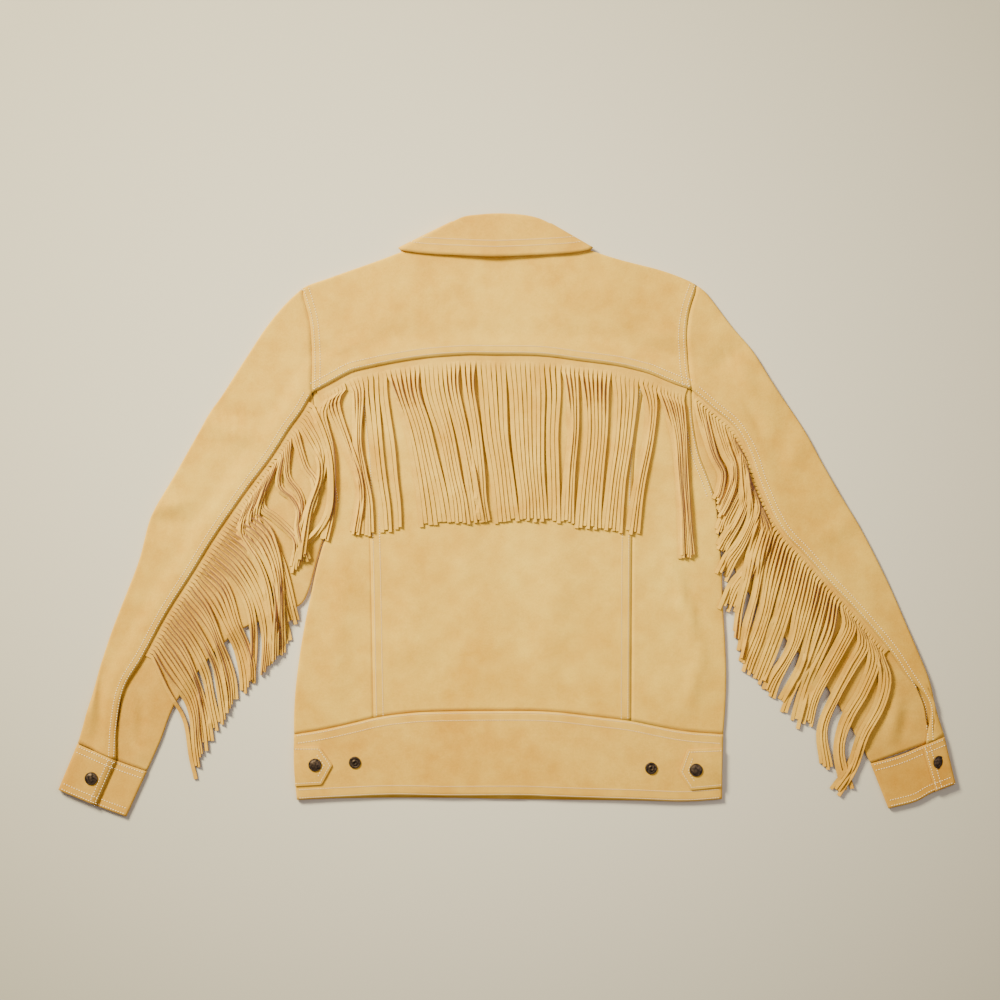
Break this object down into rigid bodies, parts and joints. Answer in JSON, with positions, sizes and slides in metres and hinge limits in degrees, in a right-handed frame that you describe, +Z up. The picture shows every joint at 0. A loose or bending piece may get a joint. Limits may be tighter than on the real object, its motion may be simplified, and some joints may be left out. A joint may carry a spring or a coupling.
{
  "type": "trucker jacket",
  "caption": "Suede trucker jacket laid flat, back up, with fringe along the yoke and sleeve seams, collar, cuffs, waist tabs and snaps; a garment to wear, fold or hang.",
  "frame": {"origin": "on the surface that the jacket lies on, under the middle of its whole outline", "axes": "+X across the jacket to the wearer's right, +Y from the hem to the collar, +Z up from the surface through the front to the back"},
  "size_m": [1.0299, 0.692, 0.0113],
  "materials": {
    "suede": "napped suede, golden tan",
    "suede_under": "napped suede, golden tan",
    "suede_band": "napped suede, golden tan",
    "suede_fringe": "napped suede, golden tan",
    "dark_metal": "aged dark metal"
  },
  "bodies": {
    "root": {"yoke_back": "suede", "back_centre": "suede", "back_side_L": "suede", "back_side_R": "suede", "front_L": "suede_under", "front_R": "suede_under", "waistband_back": "suede_band", "waistband_front_L": "suede_band", "waistband_front_R": "suede_band", "sleeve_top_L": "suede", "sleeve_top_R": "suede", "sleeve_under_L": "suede_under", "sleeve_under_R": "suede_under", "cuff_L": "suede_band", "cuff_R": "suede_band", "collar": "suede_band", "tab_L": "suede_band", "tab_R": "suede_band", "snap_tab_L": "dark_metal", "snap_tab_R": "dark_metal", "snap_stud_L": "dark_metal", "snap_stud_R": "dark_metal", "snap_cuff_L": "dark_metal", "snap_cuff_R": "dark_metal", "fringe_back": "suede_fringe", "fringe_sleeve_L": "suede_fringe", "fringe_sleeve_R": "suede_fringe"}
  },
  "joints": []
}
